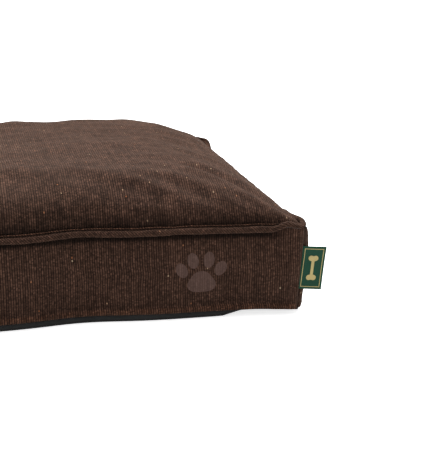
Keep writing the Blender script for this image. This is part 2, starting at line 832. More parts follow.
def new_group(name, numbers, colours, gives):
    """A shader group on a vector, numbers and colours: (wiring, input sockets, output sockets)."""
    tree = bpy.data.node_groups.new(name, "ShaderNodeTree")
    sockets = [("Vector", "INPUT", "Vector")]
    sockets += [(key, "INPUT", "Float") for key in numbers]
    sockets += [(key, "INPUT", "Color") for key in colours]
    sockets += [(key, "OUTPUT", "Color" if key == "Color" else "Float") for key in gives]
    for key, side, kind in sockets:
        made = tree.interface.new_socket(key, in_out=side, socket_type=f"NodeSocket{kind}")
        if key in numbers:
            made.default_value = numbers[key]
    entry = tree.nodes.new("NodeGroupInput")
    leave = tree.nodes.new("NodeGroupOutput")
    return Nodes(tree), entry.outputs, leave.inputs


def ribbed_cloth_group():
    """Ribs of short, mixed yarn floats with a few pale flecks."""
    n, given, result = new_group(
        "Ribbed Cloth",
        numbers={"Rib Pitch": 0.003, "Pick Pitch": 0.0019, "Flecks": 1.0, "Heather": 0.0},
        colours=("Groove", "Yarn", "Light Yarn"),
        gives=("Color", "Height", "Nap"),
    )
    place = n.add("ShaderNodeSeparateXYZ", (given["Vector"],)).outputs
    wander = n.noise(given["Vector"], 55.0, 2.0)
    across = n.math("ADD", place[0], n.math("MULTIPLY", n.math("SUBTRACT", wander, 0.5), 0.0009))
    ribs = n.math("DIVIDE", across, given["Rib Pitch"])
    column = n.math("FLOOR", ribs)
    in_rib = n.math("FRACT", ribs)
    shift = n.add("ShaderNodeTexWhiteNoise", {"W": column}, noise_dimensions="1D").outputs[0]
    picks = n.math("DIVIDE", place[1], given["Pick Pitch"])
    picks = n.math("ADD", picks, n.math("MULTIPLY", shift, 7.0))
    row = n.math("FLOOR", picks)
    in_pick = n.math("FRACT", picks)
    cell = n.add("ShaderNodeCombineXYZ", (column, row, 0.0)).outputs[0]
    yarn = n.add("ShaderNodeTexWhiteNoise", {"Vector": cell}, noise_dimensions="2D").outputs
    rib_swell = n.math("SINE", n.math("MULTIPLY", in_rib, math.pi))
    pick_swell = n.math("POWER", n.math("SINE", n.math("MULTIPLY", in_pick, math.pi)), 0.5)
    fibre = n.noise(given["Vector"], 900.0, 3.0, 0.7)
    lift = n.math("MULTIPLY", n.math("POWER", rib_swell, 0.7), n.math("MULTIPLY_ADD", pick_swell, 0.4, 0.6))
    lift = n.math("MULTIPLY_ADD", n.math("SUBTRACT", fibre, 0.5), 0.25, lift)
    shade = n.ramp(lift, 0.30, 0.82)
    body = n.mix(shade, given["Groove"], given["Yarn"])
    pale = n.math("MULTIPLY", n.ramp(yarn[0], 0.55, 1.0), shade)
    body = n.mix(n.math("MULTIPLY", pale, 0.45), body, given["Light Yarn"])
    dull = n.ramp(yarn[0], 0.38, 0.0, 0.0, 0.45)
    body = n.mix(dull, body, given["Groove"])
    stretched = n.add("ShaderNodeMapping", {"Vector": given["Vector"], "Scale": (320.0, 55.0, 1.0)})
    slub = n.noise(stretched.outputs[0], 1.0, 2.0, 0.6)
    streak = n.math("MULTIPLY_ADD", shift, 0.34, 0.83)
    streak = n.math("MULTIPLY", streak, n.ramp(slub, 0.28, 0.72, 0.80, 1.20))
    patch = n.noise(given["Vector"], 9.0, 3.0, 0.6)
    melange = n.noise(given["Vector"], 210.0, 3.0, 0.75)
    tone = n.math("MULTIPLY", streak, n.ramp(patch, 0.25, 0.75, 0.88, 1.12))
    tone = n.math("MULTIPLY", tone, n.ramp(melange, 0.30, 0.70, 0.70, 1.34))
    heather = n.ramp(n.noise(given["Vector"], 55.0, 5.0, 0.8), 0.36, 0.64, -1.0, 1.0)
    tone = n.math("MULTIPLY", tone, n.math("MULTIPLY_ADD", heather, given["Heather"], 1.0))
    toned = n.add("ShaderNodeVectorMath", (body, tone), operation="SCALE")
    n.feed(toned.inputs, Scale=tone)
    long_cell = n.add(
        "ShaderNodeCombineXYZ", (column, n.math("FLOOR", n.math("MULTIPLY", picks, 0.9)), 3.0)
    ).outputs[0]
    spot = n.add("ShaderNodeTexWhiteNoise", {"Vector": long_cell}, noise_dimensions="3D").outputs
    fleck_share = n.math("MULTIPLY", given["Flecks"], 0.0022)
    rare = n.math("GREATER_THAN", spot[0], n.math("SUBTRACT", 1.0, fleck_share))
    tint = n.add("ShaderNodeSeparateColor", (spot[1],)).outputs
    warm = n.mix(tint[1], (0.30, 0.10, 0.04), (0.42, 0.32, 0.21))
    speck = n.math("MULTIPLY", rare, n.ramp(rib_swell, 0.45, 0.8, 0.0, 0.70))
    n.feed(result, Color=n.mix(speck, toned.outputs[0], warm), Height=lift)
    n.feed(result, Nap=n.math("MULTIPLY_ADD", fibre, 0.2, 0.8, clamp=True))
    return n.tree


def plain_weave_group():
    """Over and under weave with a mixed tone, for tapes, ticking and the base."""
    n, given, result = new_group(
        "Plain Weave",
        numbers={"Thread": 0.0008},
        colours=("Dark", "Light"),
        gives=("Color", "Height"),
    )
    place = n.add("ShaderNodeSeparateXYZ", (given["Vector"],)).outputs
    warp = n.math("DIVIDE", place[0], given["Thread"])
    weft = n.math("DIVIDE", place[1], given["Thread"])
    over = n.math("MODULO", n.math("ADD", n.math("FLOOR", warp), n.math("FLOOR", weft)), 2.0)
    over = n.math("ABSOLUTE", over)
    bow_warp = n.math("SINE", n.math("MULTIPLY", n.math("FRACT", warp), math.pi))
    bow_weft = n.math("SINE", n.math("MULTIPLY", n.math("FRACT", weft), math.pi))
    lift_a = n.math("MULTIPLY", n.math("POWER", bow_warp, 0.5), bow_weft)
    lift_b = n.math("MULTIPLY", n.math("POWER", bow_weft, 0.5), bow_warp)
    lift_a = n.math("MULTIPLY", lift_a, over)
    lift_b = n.math("MULTIPLY", lift_b, n.math("SUBTRACT", 1.0, over))
    lift = n.math("ADD", lift_a, lift_b)
    tone = n.noise(given["Vector"], 40.0, 4.0, 0.65)
    shade = n.math("MULTIPLY_ADD", lift, 0.65, n.math("MULTIPLY", tone, 0.5), clamp=True)
    n.feed(result, Color=n.mix(shade, given["Dark"], given["Light"]), Height=lift)
    return n.tree


def twisted_thread_group():
    """The slanting twist of sewing thread."""
    n, given, result = new_group(
        "Twisted Thread",
        numbers={},
        colours=("Dark", "Light"),
        gives=("Color", "Height"),
    )
    place = n.add("ShaderNodeSeparateXYZ", (given["Vector"],)).outputs
    slant = n.math("ADD", n.math("MULTIPLY", place[0], 2600.0), n.math("MULTIPLY", place[1], 3800.0))
    twist = n.math("MULTIPLY_ADD", n.math("SINE", slant), 0.5, 0.5)
    tone = n.noise(given["Vector"], 300.0)
    shade = n.math("MULTIPLY", twist, n.math("MULTIPLY_ADD", tone, 0.6, 0.7), clamp=True)
    n.feed(result, Color=n.mix(shade, given["Dark"], given["Light"]), Height=twist)
    return n.tree


def worn_metal_group():
    """Fine scratches and handling marks."""
    n, given, result = new_group(
        "Worn Metal",
        numbers={},
        colours=("Dark", "Bright"),
        gives=("Color", "Roughness", "Height"),
    )
    stretch = n.add("ShaderNodeMapping", {"Vector": given["Vector"], "Scale": (300.0, 2500.0, 2500.0)})
    scratch = n.noise(stretch.outputs[0], 1.0, 4.0, 0.7)
    marks = n.noise(given["Vector"], 220.0, 4.0, 0.6)
    blend = n.math("ADD", n.ramp(marks, 0.35, 0.7, 0.0, 0.7), n.ramp(scratch, 0.6, 0.75, 0.0, 0.3))
    n.feed(result, Color=n.mix(blend, given["Dark"], given["Bright"]))
    n.feed(result, Roughness=n.ramp(marks, 0.3, 0.7, 0.28, 0.48), Height=scratch)
    return n.tree


GROUP_MAKERS = {
    "Ribbed Cloth": ribbed_cloth_group,
    "Plain Weave": plain_weave_group,
    "Twisted Thread": twisted_thread_group,
    "Worn Metal": worn_metal_group,
}


def use_group(nodes, name, vector, **values):
    """Place a group in a material, made on first use."""
    tree = bpy.data.node_groups.get(name) or GROUP_MAKERS[name]()
    node = nodes.tree.nodes.new("ShaderNodeGroup")
    node.node_tree = tree
    nodes.tree.links.new(vector, node.inputs["Vector"])
    for key, value in values.items():
        socket = node.inputs[key.replace("_", " ")]
        if isinstance(value, bpy.types.NodeSocket):
            nodes.tree.links.new(value, socket)
        else:
            socket.default_value = value if isinstance(value, float) else (*value, 1.0)
    return node.outputs


def new_material(name, **shader_values):
    """(material, wiring, Principled node) with the shader's constant values set on its sockets."""
    material = bpy.data.materials.new(name)
    material.use_nodes = True
    nodes = Nodes(material.node_tree)
    shader = material.node_tree.nodes["Principled BSDF"]
    for key, value in shader_values.items():
        shader.inputs[key.replace("_", " ")].default_value = value
    return material, nodes, shader


def wire_bump(nodes, shader, height, distance, strength=1.0):
    """Feed a height through a Bump node."""
    bump = nodes.add(
        "ShaderNodeBump", {"Height": height, "Distance": distance, "Strength": strength}
    )
    nodes.feed(shader.inputs, Normal=bump.outputs[0])


def cut_vector(nodes, turn=0.0, shift=(0.0, 0.0, 0.0)):
    """The piece's own flat cut, in metres, turned and shifted."""
    uv = nodes.add("ShaderNodeUVMap", uv_map="Cut").outputs[0]
    return nodes.add(
        "ShaderNodeMapping", {"Vector": uv, "Location": shift, "Rotation": (0.0, 0.0, turn)}
    ).outputs[0]


def dyed(shade, gain):
    """A colour made lighter or darker."""
    return tuple(channel * gain for channel in shade)


def made_once(maker):
    """Have a material's function give the material that it made before under the same name."""

    def give(name, *args, **values):
        return bpy.data.materials.get(name) or maker(name, *args, **values)

    return give


@made_once
def ribbed_material(name, turn=0.0, shift=(0.0, 0.0, 0.0), gain=1.0, flecks=1.0, rib_share=1.0, heather=0.0):
    """Cover cloth. Strips over a seam allowance are rubbed a little paler."""
    cloth = bpy.context.scene.bed_cloth
    material, n, shader = new_material(
        name,
        Sheen_Weight=0.19,
        Sheen_Roughness=0.42,
        Sheen_Tint=(0.66, 0.42, 0.31, 1.0),
        Specular_IOR_Level=0.06,
    )
    yarns = {
        "Groove": dyed(cloth.yarn_dark, gain),
        "Yarn": dyed(cloth.yarn_mid, gain),
        "Light_Yarn": dyed(cloth.yarn_light, gain),
    }
    made = use_group(
        n,
        "Ribbed Cloth",
        cut_vector(n, turn, shift),
        Rib_Pitch=cloth.rib_pitch * rib_share,
        Pick_Pitch=cloth.pick_pitch * rib_share,
        Flecks=flecks,
        Heather=heather,
        **yarns,
    )
    rub = n.add("ShaderNodeAttribute", attribute_name="rub", attribute_type="GEOMETRY").outputs[2]
    patchy = n.ramp(n.noise(cut_vector(n), 60.0, 3.0), 0.3, 0.7, 0.35, 1.0)
    paler = n.add("ShaderNodeHueSaturation", {"Color": made["Color"], "Value": 1.62, "Saturation": 1.1})
    rubbed = n.math("MULTIPLY", n.math("MAXIMUM", rub, 0.0), patchy)
    colour = n.mix(rubbed, made["Color"], paler.outputs[0])
    # Below zero the mask marks the bottom of a crease, where the nap lies flat and dark.
    crease = n.math("MULTIPLY_ADD", n.math("MINIMUM", rub, 0.0), 0.80, 1.0)
    creased = n.add("ShaderNodeVectorMath", (colour,), operation="SCALE")
    n.feed(creased.inputs, Scale=crease)
    n.feed(shader.inputs, Base_Color=creased.outputs[0], Roughness=made["Nap"])
    wire_bump(n, shader, made["Height"], 0.0009 * rib_share)
    return material


def base_material():
    """Black hard-wearing cloth with a dull coating."""
    cloth = bpy.context.scene.bed_cloth
    material, n, shader = new_material("Base Cloth", Specular_IOR_Level=0.35)
    made = use_group(
        n,
        "Plain Weave",
        cut_vector(n),
        Thread=0.0011,
        Dark=dyed(cloth.base_black, 0.55),
        Light=dyed(cloth.base_black, 1.6),
    )
    scuff = n.noise(cut_vector(n), 25.0, 4.0, 0.7)
    n.feed(shader.inputs, Base_Color=made["Color"])
    n.feed(shader.inputs, Roughness=n.ramp(scuff, 0.3, 0.7, 0.55, 0.75))
    wire_bump(n, shader, made["Height"], 0.0003)
    return material


@made_once
def thread_material(name, dark, light):
    """Sewing thread."""
    material, n, shader = new_material(name, Roughness=0.6, Sheen_Weight=0.2)
    made = use_group(n, "Twisted Thread", cut_vector(n), Dark=dark, Light=light)
    n.feed(shader.inputs, Base_Color=made["Color"])
    wire_bump(n, shader, made["Height"], 0.0001)
    return material


@made_once
def woven_material(name, dark, light, thread=0.0006, roughness=0.8, sheen=0.1):
    """Plain woven cloth or tape."""
    material, n, shader = new_material(
        name, Roughness=roughness, Sheen_Weight=sheen, Specular_IOR_Level=0.25
    )
    made = use_group(n, "Plain Weave", cut_vector(n), Thread=thread, Dark=dark, Light=light)
    n.feed(shader.inputs, Base_Color=made["Color"])
    wire_bump(n, shader, made["Height"], thread * 0.4)
    return material


@made_once
def metal_material(name, dark, bright):
    """Plated zip metal."""
    material, n, shader = new_material(name, Metallic=1.0)
    place = n.add("ShaderNodeTexCoord").outputs["Object"]
    made = use_group(n, "Worn Metal", place, Dark=dark, Bright=bright)
    n.feed(shader.inputs, Base_Color=made["Color"])
    n.feed(shader.inputs, Roughness=made["Roughness"])
    wire_bump(n, shader, made["Height"], 0.00005, 0.5)
    return material


def set_node_material(node, material):
    """Give a node of the frame a better finish."""
    obj = frame["nodes"][node]
    obj.data.materials.clear()
    obj.data.materials.append(material)


# ---- Cover panels -------------------------------------------------------------------------

PANEL_STEPS = (0.0016, 0.0042, 0.016)  # mesh size by a seam and away from it, and how wide by it
ALLOWANCE_HEIGHT = 0.0072  # of the base seam's allowance, which shows through the band
ALLOWANCE_STAND = 0.0011  # how far it pushes the cloth out
BAND_GAIN = 1.28  # of the band's colour over the yarns' own
CREASE_TOP, CREASE_FADE = 0.0115, 0.0045  # of the shade under the flange, down from the seam


def band_rise():
    """Places up the band, fine at both seams."""
    low = np.array([0, 0.012, 0.025, 0.038, 0.050, 0.062, 0.075, 0.086, 0.097, 0.115])
    high = 1 - np.array([0, 0.015, 0.03, 0.05, 0.08])[::-1]
    return np.concatenate([low, np.linspace(0.145, 0.89, 23), high])


def allowance_strip(rise, height):
    """How far the seam allowance inside pushes the cloth out just above the base seam."""
    above = rise * height
    return smooth_step(above / 0.0015) * (1 - smooth_step((above - ALLOWANCE_HEIGHT) / 0.0018))


def band_grid(side):
    """Outer points and rub mask of one side of the band."""
    form = held_form()
    half = form.half_of(side)[0]
    places = steps_along(half, *PANEL_STEPS)
    along, up = np.meshgrid(places, band_rise(), indexing="ij")
    grid = form.band(side, along, up)
    grid = form.swelled(side, (along / half + 1) / 2, up, grid)
    out_axis = form.axes_of(side)[1]
    gap = form.corner_gap(side, along)
    height = SEAM_Z - BASE_SEAM_Z
    strip = allowance_strip(up, height) * smooth_step(gap / 0.006)
    uneven = 1 + 0.25 * ripple(along, up, 0.035, 31 + SIDES.index(side))
    pucker = ripple(along, up * 0.02, 0.013, 41 + SIDES.index(side))
    near_top = np.exp(-((1 - up) * height) / 0.010) * (1 - np.exp(-((1 - up) * height) / 0.002))
    near_base = np.exp(-(np.abs(up * height - 0.010) / 0.004))
    move = ALLOWANCE_STAND * strip * uneven + 0.0006 * pucker * near_top + 0.0004 * pucker * near_base
    # Both sides dip to the corner seam along the same diagonal.
    into = np.exp(-gap / 0.0030)
    facing = np.sign(along)[..., None] * form.axes_of(side)[0] + out_axis
    grid = grid + move[..., None] * out_axis - (0.0012 * into)[..., None] * facing
    # The cloth is darker in the crease under the drooping flange, and in the corner seams.
    droop = np.clip(flange_tilt(form.seam(side, along[:, 0])) / MID_TILT, 0, 1)[:, None]
    below = (1 - up) * height
    crease = droop * (1 - smooth_step((below - CREASE_TOP) / CREASE_FADE))
    crease = crease + 0.7 * np.exp(-gap / 0.0016)
    # A darker line lies where the allowance's edge ends.
    strip_top = 0.55 * np.exp(-(((up * height - 0.0135) / 0.0014) ** 2)) * smooth_step(gap / 0.006)
    return grid, strip - np.clip(crease + strip_top, 0, 1)


class BED_OT_top_panel(Operator):
    """Cut the lying surface from the filled form"""

    bl_idname = "bed.top_panel"
    bl_label = "Top Panel"

    def execute(self, context):
        form = held_form()
        u = steps_along(HALF_X, *PANEL_STEPS) / HALF_X
        v = steps_along(HALF_Y, *PANEL_STEPS) / HALF_Y
        uu, vv = np.meshgrid(u, v, indexing="ij")
        grid = form.top(uu, vv)
        grid = form.swelled("top", (uu + 1) / 2, (vv + 1) / 2, grid)
        x, y = uu * HALF_X, vv * HALF_Y
        gap_x, gap_y = HALF_X - np.abs(x), HALF_Y - np.abs(y)
        normal = grid_normals(grid)
        edge = np.minimum(gap_x, gap_y)
        near = np.exp(-edge / 0.014) * smooth_step(edge / 0.006)
        along = np.where(gap_x < gap_y, y, x)
        pucker = ripple(along, edge * 0.3, 0.016, 51)
        grid = grid + (0.0009 * near * pucker)[..., None] * normal
        crease = -0.8 * np.exp(-edge / 0.0028)
        material = ribbed_material("Cover Cloth Top", gain=1.20, heather=0.34)
        panel = cloth_shell("cover_top", grid, None, COVER_CLOTH, material, {"rub": crease})
        place_on(panel, "cover", "cover_cloth", "top_panel")
        return {"FINISHED"}


class BED_OT_band(Operator):
    """Cut the front and the two short sides of the band"""

    bl_idname = "bed.band"
    bl_label = "Band"

    def execute(self, context):
        for number, side in enumerate(("front", "right", "left")):
            grid, strip = band_grid(side)
            cut_from = (0.11 * number, 0.07, 0.0)
            material = ribbed_material(f"Cover Cloth {side.title()}", shift=cut_from, gain=BAND_GAIN)
            panel = cloth_shell(f"cover_band_{side}", grid, None, COVER_CLOTH, material, {"rub": strip})
            place_on(panel, "cover", "cover_cloth", f"band_{side}")
            size = (2 * HeldForm.half_of(side)[0], SEAM_Z - BASE_SEAM_Z)
        return {"FINISHED"}


class BED_OT_back_band(Operator):
    """Cut the two halves of the back band, folded back along the zip"""

    bl_idname = "bed.back_band"
    bl_label = "Back Band"

    def execute(self, context):
        form = held_form()
        half = form.half_of("back")[0]
        places = steps_along(half, *PANEL_STEPS)
        height = SEAM_Z - BASE_SEAM_Z
        for name, lower in (("upper", False), ("lower", True)):
            # The fold stands half a slot from the zip line, and closes past the slot's ends.
            opened = smooth_step((SLOT_END + 0.002 - np.abs(places)) / 0.002)
            edge = SLOT_HALF * opened + 0.0002
            share = np.linspace(0, 1, 20) ** 1.2
            along = np.repeat(places[:, None], len(share), axis=1)
            low_seam = form.seam("back", along, bottom=True)[..., 2]
            high_seam = form.seam("back", along)[..., 2]
            if lower:
                z = low_seam + (ZIP_Z - edge[:, None] - low_seam) * (1 - share[::-1][None, :])
            else:
                z = ZIP_Z + edge[:, None] + (high_seam - ZIP_Z - edge[:, None]) * share[None, :]
            rise = (z - low_seam) / (high_seam - low_seam)
            grid = form.band("back", along, rise)
            grid = form.swelled("back", (along / half + 1) / 2, rise, grid)
            grid[..., 2] = z
            gap = form.corner_gap("back", along)
            strip = allowance_strip(rise, height) * smooth_step(gap / 0.006) if lower else 0.0 * rise
            # The stiff tapes keep the cloth flat beside the zip.
            held_flat = np.exp(-(((z - ZIP_Z) / TAPE_REACH) ** 6)) * smooth_step((gap - 0.004) / 0.011)
            grid[..., 1] += (HALF_Y - grid[..., 1]) * held_flat
            # The cloth rolls over at the fold.
            from_fold = np.abs(z - ZIP_Z) - edge[:, None]
            rolled = 0.0009 * np.exp(-from_fold / 0.0007)
            row_dip = 0.0004 * np.exp(-(((from_fold - 0.003) / 0.0009) ** 2))
            grid[..., 1] += ALLOWANCE_STAND * strip * (1 - held_flat) - rolled - row_dip
            material = ribbed_material("Cover Cloth Back", shift=(0.33, 0.01, 0.0), gain=BAND_GAIN)
            panel = cloth_shell(
                f"cover_band_back_{name}", grid, None, COVER_CLOTH, material, {"rub": strip}
            )
            place_on(panel, "cover", "cover_cloth", f"band_back_{name}")
        return {"FINISHED"}


TAPE_REACH = 0.019  # from the zip line to where the band may bulge again


class BED_OT_base_panel(Operator):
    """Cut the underside, which rolls under from the base seam"""

    bl_idname = "bed.base_panel"
    bl_label = "Base Panel"

    def execute(self, context):
        form = held_form()
        u = steps_along(HALF_X, 0.002, 0.012, 0.028) / HALF_X
        v = steps_along(HALF_Y, 0.002, 0.012, 0.028) / HALF_Y
        uu, vv = np.meshgrid(u, v[::-1], indexing="ij")
        grid = form.base(uu, vv)
        panel = cloth_shell("cover_base", grid, None, BASE_CLOTH, base_material())
        place_on(panel, "cover", "base_cloth", "base_panel")
        return {"FINISHED"}


# ---- Bound seam ---------------------------------------------------------------------------

# The tape's outer face from its upper hem round the nose to its lower hem: reach and height.
BINDING_FACE = (
    (0.0034, 0.0012),
    (0.0012, 0.0012),
    (0.0002, 0.0018),
    (0.0000, 0.0028),
    (0.0004, 0.0037),
    (0.0012, 0.0040),
    (0.0019, 0.0031),
    (0.0025, 0.0015),
    (0.0032, 0.0018),
    (0.0043, 0.0033),
    (0.0060, 0.0039),
    (0.0077, 0.0036),
    (0.0092, 0.0026),
    (0.0101, 0.0010),
    (0.0102, -0.0008),
    (0.0094, -0.0024),
    (0.0079, -0.0034),
    (0.0060, -0.0036),
    (0.0042, -0.0031),
    (0.0030, -0.0024),
    (0.0020, -0.0026),
    (0.0011, -0.0030),
    (0.0003, -0.0024),
    (0.0004, -0.0016),
    (0.0014, -0.0012),
    (0.0034, -0.0012),
)
LIP_LINES, GROOVE_LINES = slice(2, 6), slice(6, 9)  # of the outer face: rubbed, and in the crease
STITCH_REACH = 0.0026
STITCH_HEIGHTS = {"upper": 0.0016, "lower": -0.0025}  # over the flange's middle
CORNER_KNUCKLE = 0.013  # half width of the round turn of the binding at a corner
KNUCKLE_OUT = 0.0024  # how far the filled corner pushes it out
KNUCKLE_SINK = 0.0042  # how far it hangs over the band there


def binding_grid(spacing):
    """The binding's outer face along the whole seam."""
    path, outward, tilt = seam_path(spacing)
    run = run_along(path)
    total = run[-1] + np.linalg.norm(path[0] - path[-1])
    turn = run / total * 2 * math.pi
    round_x, round_y = np.cos(turn) * total / (2 * math.pi), np.sin(turn) * total / (2 * math.pi)
    tilt = tilt + 5.0 * ripple(round_x, round_y, 0.110, 61) + 2.0 * ripple(round_x, round_y, 0.030, 62)
    plump = 1.10 + 0.10 * ripple(round_x, round_y, 0.045, 63) + 0.05 * ripple(round_x, round_y, 0.012, 64)
    reach_change = 1.06 + 0.05 * ripple(round_x, round_y, 0.070, 65)
    for ear in EARS:
        corner = np.hypot(path[:, 0] - ear["corner"][0] * HALF_X, path[:, 1] - ear["corner"][1] * HALF_Y)
        knuckle = np.exp(-((corner / CORNER_KNUCKLE) ** 2))
        reach_change = reach_change - 0.12 * np.exp(-((corner / (3 * CORNER_KNUCKLE)) ** 2)) - 0.30 * knuckle
        path = path + knuckle[:, None] * (KNUCKLE_OUT * outward - (0.0, 0.0, KNUCKLE_SINK))
    pitch = bpy.context.scene.bed_cloth.stitch_pitch
    pull = 0.5 + 0.5 * np.cos(2 * math.pi * run / pitch)
    columns = []
    for reach, above in BINDING_FACE:
        near_row = math.exp(-(((reach - STITCH_REACH) / 0.0012) ** 2))
        sunk = 0.00022 * near_row * pull * math.copysign(1.0, above)
        placed = flange_points(path, outward, tilt, reach * reach_change, above * plump - sunk)[0]
        columns.append(placed)
    grid = np.stack(columns, axis=1)
    return grid, run, total, (path, outward, tilt, plump, reach_change)


class BED_OT_binding(Operator):
    """Wrap the bias tape round the top seam and sew it"""

    bl_idname = "bed.binding"
    bl_label = "Seam Binding"

    def execute(self, context):
        grid, run, total, line = binding_grid(0.0017)
        # Rows run round the nose, so the grid is turned to face outward.
        widths = np.linalg.norm(np.diff(grid, axis=1), axis=2).mean(axis=0)
        across = np.concatenate([[0], np.cumsum(widths)])
        flat = np.stack(
            [np.repeat(run[:, None], len(across), 1), np.repeat(across[None], len(run), 0)], -1
        )
        lip = np.zeros(len(across))
        lip[LIP_LINES] = 1.5
        lip[GROOVE_LINES] = -0.9
        rub = np.repeat(lip[None], len(run), 0)
        material = ribbed_material(
            "Binding Cloth", turn=math.radians(45), gain=1.2, rib_share=0.85, flecks=0.3
        )
        grid, flat, masks = grid[:, ::-1], flat[:, ::-1], {"rub": rub[:, ::-1]}
        tape = cloth_shell("seam_binding", grid, flat, TAPE_CLOTH, material, masks, closed=True)
        place_on(tape, "cover", "binding_cloth", "top_binding")
        self.sew(line)
        return {"FINISHED"}

    @staticmethod
    def sew(line):
        """Two rows of stitches, one on each face of the tape."""
        path, outward, tilt, plump, reach_change = (np.concatenate([part, part[:1]]) for part in line)
        pitch = bpy.context.scene.bed_cloth.stitch_pitch
        material = thread_material("Brown Thread", *THREAD_SHADES)
        rows = []
        for name, above in STITCH_HEIGHTS.items():
            points, over = flange_points(path, outward, tilt, STITCH_REACH * reach_change, above * plump)
            facing = over * math.copysign(1.0, above)
            rows.append(
                thread_row(f"binding_stitches_{name}", points, facing, pitch, THREAD_WIDTH, material)
            )
        place_on(rows[0], "cover", "thread", "binding_stitching")
        place_on(rows[1], "cover", "thread")


# ---- Labels and printed emblem ------------------------------------------------------------


class BED_OT_woven_label(Operator):
    """Fold the woven label into the corner seam"""

    bl_idname = "bed.woven_label"
    bl_label = "Woven Label"

    THICK = 0.0005
    LEAN = math.radians(6.4)

    def place(self, across, up, front):
        """A point of the label: across from the seam, up it, and in front of its middle."""
        centre_z = (LABEL_LOW.z + LABEL_HIGH.z) / 2
        width = LABEL_HIGH.x - LABEL_LOW.x
        curl = 0.0016 * (across / width) ** 2 * np.cos(up * 40.0)
        root = self.seam_root(centre_z + up)
        x = root[..., 0] - 0.0026 + across * math.cos(self.LEAN) + up * math.sin(self.LEAN) * 0.25
        y = root[..., 1] + 0.0004 - 0.004 * across / width + curl - front
        z = centre_z + up * math.cos(self.LEAN) - across * math.sin(self.LEAN) * 0.6
        return np.stack([x, y, z], -1)

    @staticmethod
    def opening(across, width):
        """How far the two layers stand apart: pressed together in the seam, full at the fold."""
        return 0.45 + 0.55 * np.clip(across / width, 0, 1)

    @staticmethod
    def seam_root(height):
        """The corner seam at a height, which the label's root follows."""
        corner = held_form().band("front", np.full(2, HALF_X), np.array([0.0, 1.0]))
        share = (height - corner[0, 2]) / (corner[1, 2] - corner[0, 2])
        return corner[0] + (corner[1] - corner[0]) * np.asarray(share)[..., None]

    def execute(self, context):
        cloth = context.scene.bed_cloth
        width = LABEL_HIGH.x - LABEL_LOW.x - 0.0006
        height = LABEL_HIGH.z - LABEL_LOW.z
        gap = 0.0008
        dark, light = dyed(cloth.label_green, 0.6), dyed(cloth.label_green, 1.35)
        green = woven_material("Label Ground", dark, light, 0.0005, 0.6, sheen=0.0)
        # One ribbon: out along the front, round the fold and back along the rear.
        front = np.linspace(0, width, 24)
        turn = np.linspace(-math.pi / 2, math.pi / 2, 9)[1:-1]
        radius = gap / 2 + self.THICK
        across = np.concatenate([front, width + radius * np.cos(turn), front[::-1]])
        depth = np.concatenate([np.full(24, radius), -radius * np.sin(turn), np.full(24, -radius)])
        rows = np.linspace(-height / 2, height / 2, 40)
        run = run_along(np.stack([across, depth, 0 * depth], -1))
        depth = depth * self.opening(across, width)
        lines = [self.place(across, np.full(len(across), up), depth) for up in rows]
        grid = np.stack(lines, axis=1)
        flat = np.stack([np.repeat(run[:, None], 40, 1), np.repeat(rows[None], len(run), 0)], -1)
        label = cloth_shell("corner_label", grid, flat, self.THICK, green)
        place_on(label, "cover", "label_cloth", "woven_label")
        dark, light = dyed(cloth.label_gold, 0.45), dyed(cloth.label_gold, 1.0)
        gold = woven_material("Label Gold", dark, light, 0.0004, 0.45, sheen=0.0)
        trim = self.gold_work(width, height, radius, gold)
        place_on(trim, "cover", "label_cloth")
        return {"FINISHED"}

    def gold_work(self, width, height, radius, material):
        """The woven frame line and the bone motif, on the front and on the back of the label."""
        inset, line = 0.0030, 0.0008
        x0, x1 = inset, width - inset * 0.75
        z0, z1 = -height / 2 + inset, height / 2 - inset
        shapes = [((x0, z0), (x1, z0 + line)), ((x0, z1 - line), (x1, z1))]
        shapes += [((x0, z0), (x0 + line, z1)), ((x1 - line, z0), (x1, z1))]
        points, faces, uvs = [], [], []

        def patch(xs, zs, face):
            start = sum(len(p) for p in points)
            a, b = np.meshgrid(xs, zs, indexing="ij")
            depth = face * (radius * self.opening(a, width) + 0.00018)
            grid = self.place(a, b, depth)
            points.append(grid.reshape(-1, 3))
            uvs.append(np.stack([a, b], -1).reshape(-1, 2))
            faces.extend(grid_faces(*a.shape, start, flip=face < 0))

        for (ax, az), (bx, bz) in shapes:
            wide, tall = 14 if bx - ax > line * 2 else 2, 30 if bz - az > line * 2 else 2
            for face in (1, -1):
                patch(np.linspace(ax, bx, wide), np.linspace(az, bz, tall), face)
        # The bone: two ends, each a fan round its own middle, and a shaft between them.
        centre_x = (x0 + x1) / 2
        ends = bone_ends(0.0130, 0.0036, 0.0019)
        count = len(ends[0])
        shaft = np.linspace(ends[0][0][1], ends[1][0][1], 9)[1:-1]
        sides = [(x, z) for z in shaft for x in (ends[0][0][0], -ends[0][0][0])]
        ring = np.array([*ends[0], *ends[1], (0.0, 0.0130), (0.0, -0.0130), *sides]) + (centre_x, 0.0)
        fan = []
        for end in (0, 1):
            first = end * count
            fan += [(first + k, first + (k + 1) % count, 2 * count + end) for k in range(count)]
        rungs = [(0, count - 1)]
        rungs += [(2 * count + 2 + 2 * k, 2 * count + 3 + 2 * k) for k in range(len(shaft))]
        rungs += [(2 * count - 1, count)]
        fan += [(a[0], a[1], b[1], b[0]) for a, b in zip(rungs, rungs[1:])]
        for face in (1, -1):
            start = sum(len(p) for p in points)
            depth = face * (radius * self.opening(ring[:, 0], width) + 0.00022)
            points.append(self.place(ring[:, 0], ring[:, 1], depth))
            uvs.append(ring)
            moved = [tuple(start + k for k in f) for f in fan]
            faces.extend([f if face > 0 else f[::-1] for f in moved])
        return new_piece("label_gold_threads", np.concatenate(points), faces, material, np.concatenate(uvs))


